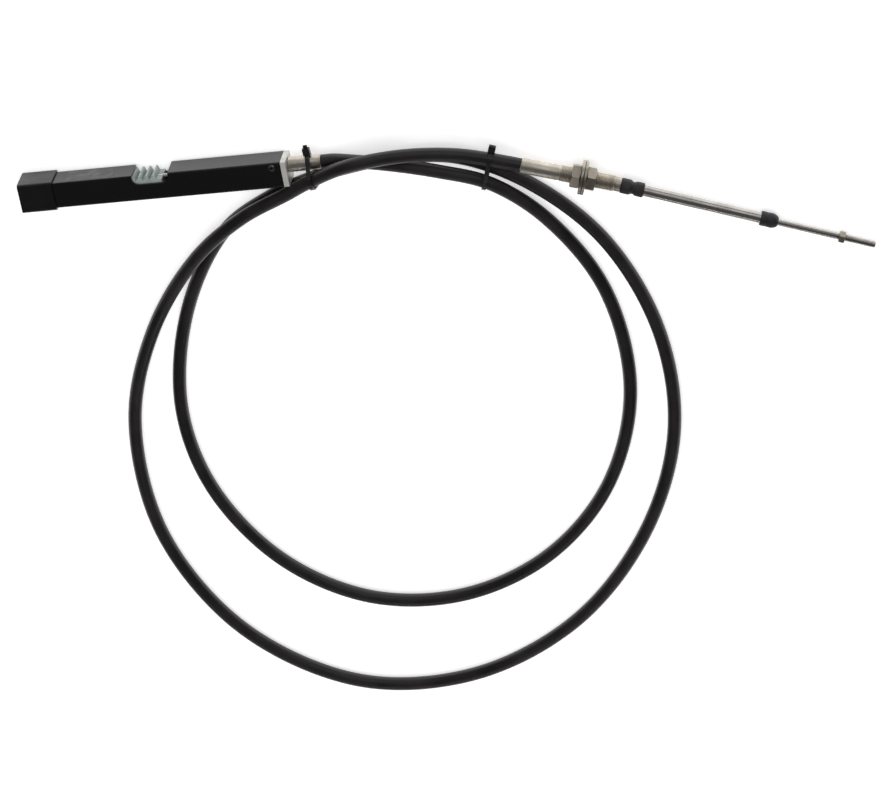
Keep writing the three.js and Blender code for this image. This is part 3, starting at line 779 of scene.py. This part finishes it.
def make_hub_nuts():
    bore = HUB_THREAD_D + 2 * GAP
    second = FIRST_NUT_START + NUT_THICKNESS + 2 * (WASHER_THICKNESS + GAP) + GAP
    turned_frame = HUB_FRAME @ Matrix.Rotation(math.radians(10), 4, "X")
    return [
        hex_nut("bulkhead_nut_near", NUT_FLATS, NUT_THICKNESS, bore, FIRST_NUT_START, "zinc_plate",
                turned_frame, "bulkhead_nut_1", "cable", 0.2),
        hex_nut("bulkhead_nut_far", NUT_FLATS, NUT_THICKNESS, bore, second, "zinc_plate",
                HUB_FRAME, "bulkhead_nut_2", "cable", 0.2),
    ]


# Swivelling arm
def make_boot():
    """A waisted rubber boot that hugs the sleeve, with moulded beads at its ends."""
    sphere = NOSE_SPHERE_R + 0.5
    bore = SLEEVE_D / 2 + GAP
    lobe = BOOT_LOBE_R
    lobe_start = math.sqrt(sphere ** 2 - lobe ** 2)
    face = math.sqrt(sphere ** 2 - bore ** 2)
    profile = rounded([
        (face, bore), (lobe_start + 0.2, lobe - 0.9), (lobe_start + 0.5, lobe), (22, lobe),
        (24.8, BOOT_WAIST_R), (27, BOOT_WAIST_R), (29, BOOT_TAIL_R),
        (BOOT_END - 1, BOOT_TAIL_R), (BOOT_END, 7.6),
        (BOOT_END, bore)], 1.2, 5)
    vertices, faces = turned(profile + [(face, bore)], 56)
    piece = new_piece("boot_moulded", vertices, faces, "boot_rubber", ARM_FRAME, 45)
    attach(piece, "sleeve")
    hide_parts("swivel_boot")
    return piece


def make_wiper():
    on_sleeve = SLEEVE_D / 2 + GAP
    on_rod = ROD_D / 2 + GAP
    profile = rounded([
        (WIPER_START, on_sleeve), (WIPER_START, 7.9), (174.1, WIPER_R), (180, WIPER_R),
        (180.5, 8.15), (181.5, 8.15), (182, WIPER_R), (187.7, WIPER_R), (191.7, 6.9),
        (193.7, 5.1), (193.7, on_rod)], 0.8, 4)
    vertices, faces = turned(
        profile + [
            (SLEEVE_END + GAP, on_rod), (SLEEVE_END + GAP, on_sleeve), (WIPER_START, on_sleeve)],
        56)
    piece = new_piece("wiper_moulded", vertices, faces, "boot_rubber", ARM_FRAME, 45)
    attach(piece, "sleeve")
    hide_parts("wiper_seal")
    return piece


def make_rod():
    """Plain rod with a cut screw thread on its last part and a chamfered tip."""
    r = ROD_D / 2
    plain = [(ROD_START, 0), (ROD_START, r), (ROD_THREAD_START - 1, r),
             (ROD_THREAD_START, r - 0.3), (ROD_THREAD_START, r - 0.6)]
    screw = threaded_profile(
        ROD_THREAD_START, ROD_END - 0.2, r, ROD_THREAD_PITCH, ROD_THREAD_DEPTH, 48, 6, 1.0)
    tip = [(ROD_END - 0.2, r - ROD_THREAD_DEPTH), (ROD_END, r - 0.9), (ROD_END, 0)]
    vertices, faces = merged(turned(plain, 48), screw, turned(tip, 48))
    piece = new_piece("rod_turned", vertices, faces, "stainless", ARM_FRAME, 40)
    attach(piece, "rod")
    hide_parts("output_rod")
    return piece


def make_rod_nut():
    return hex_nut(
        "rod_nut_turned", ROD_NUT_FLATS, ROD_NUT_THICKNESS, ROD_D + 2 * GAP,
        ROD_NUT_MIDDLE - ROD_NUT_THICKNESS / 2, "zinc_plate", ARM_FRAME, "rod_nut", "rod", 0.15)


# Stage, light and camera
def make_floor():
    size = 6
    mesh = bpy.data.meshes.new("studio_floor")
    mesh.from_pydata(
        [(-size, -size, 0), (size, -size, 0), (size, size, 0), (-size, size, 0)], [],
        [(0, 1, 2, 3)])
    floor = bpy.data.objects.new("studio_floor", mesh)
    bpy.context.scene.collection.objects.link(floor)
    floor.location.z = -0.0005
    mesh.materials.append(floor_paper())


def area_light(name, place, target, width, height, power, mirrored=True):
    """A soft panel that the camera never sees; one that isn't mirrored leaves no highlight."""
    data = bpy.data.lights.new(name, "AREA")
    data.shape = "RECTANGLE"
    data.size = width
    data.size_y = height
    data.energy = power
    light = bpy.data.objects.new(name, data)
    bpy.context.scene.collection.objects.link(light)
    light.location = place
    light.rotation_euler = (Vector(target) - Vector(place)).to_track_quat("-Z", "Y").to_euler()
    light.visible_camera = False
    light.visible_glossy = mirrored


def make_lights():
    world = bpy.data.worlds.new("studio")
    world.use_nodes = True
    background = world.node_tree.nodes["Background"]
    background.inputs["Color"].default_value = (1, 1, 1, 1)
    background.inputs["Strength"].default_value = 0.1
    bpy.context.scene.world = world
    area_light("overhead", (0, 0.1, 3.2), (0, -0.2, 0), 4.4, 4.4, 105, mirrored=False)
    area_light("front_panel", (0.75, 2.67, 2.1), (0, -0.1, 0), 4.0, 2.4, 20)
    area_light("back_strip", (-0.25, -3.1, 1.9), (0, -0.1, 0), 4.0, 0.5, 12)


def make_camera():
    data = bpy.data.cameras.new("camera")
    data.lens = 201.34
    data.sensor_width = 36
    data.sensor_fit = "HORIZONTAL"
    data.clip_end = 30
    camera = bpy.data.objects.new("camera", data)
    bpy.context.scene.collection.objects.link(camera)
    right = Vector((0.97707, -0.16675, -0.13236))
    up = Vector((0.08058, 0.86510, -0.49509))
    back = Vector((0.19706, 0.47307, 0.85870))
    place = Vector((1.1057, 2.5022, 5.0024))
    turn = Matrix((right, up, back)).transposed().to_4x4()
    camera.matrix_world = Matrix.Translation(place) @ turn
    bpy.context.scene.camera = camera


bpy.context.scene.view_settings.view_transform = "Standard"
make_floor()
make_lights()
make_camera()

dress_node("housing_tube", "box_paint", 0.35)
dress_node("end_cap", "cap_plastic", 0.5)
dress_node("end_plate", "plate_casting", 0.4)
dress_node("rack_bar", "rack_steel", 0.22)
dress_node("core_rod", "stainless")
dress_node("bulkhead_washer_1", "zinc_plate", 0.3)
dress_node("bulkhead_washer_2", "zinc_plate", 0.3)
dress_node("swivel_ball", "stainless")
dress_node("sleeve_tube", "stainless", 0.2)
make_screws()
make_label()
make_inlet_ferrule()
conduit = make_conduit()
ferrule_circle = (
    (INLET_END[1] - LEFT_TIE["y"]) * MM, INLET_END[2] * MM, (FERRULE_D / 2 + GAP) * MM)
ties = make_tie(LEFT_TIE, [ferrule_circle]) + make_tie(RIGHT_TIE)
make_hub()
make_hub_nuts()
make_boot()
make_wiper()
make_rod()
make_rod_nut()
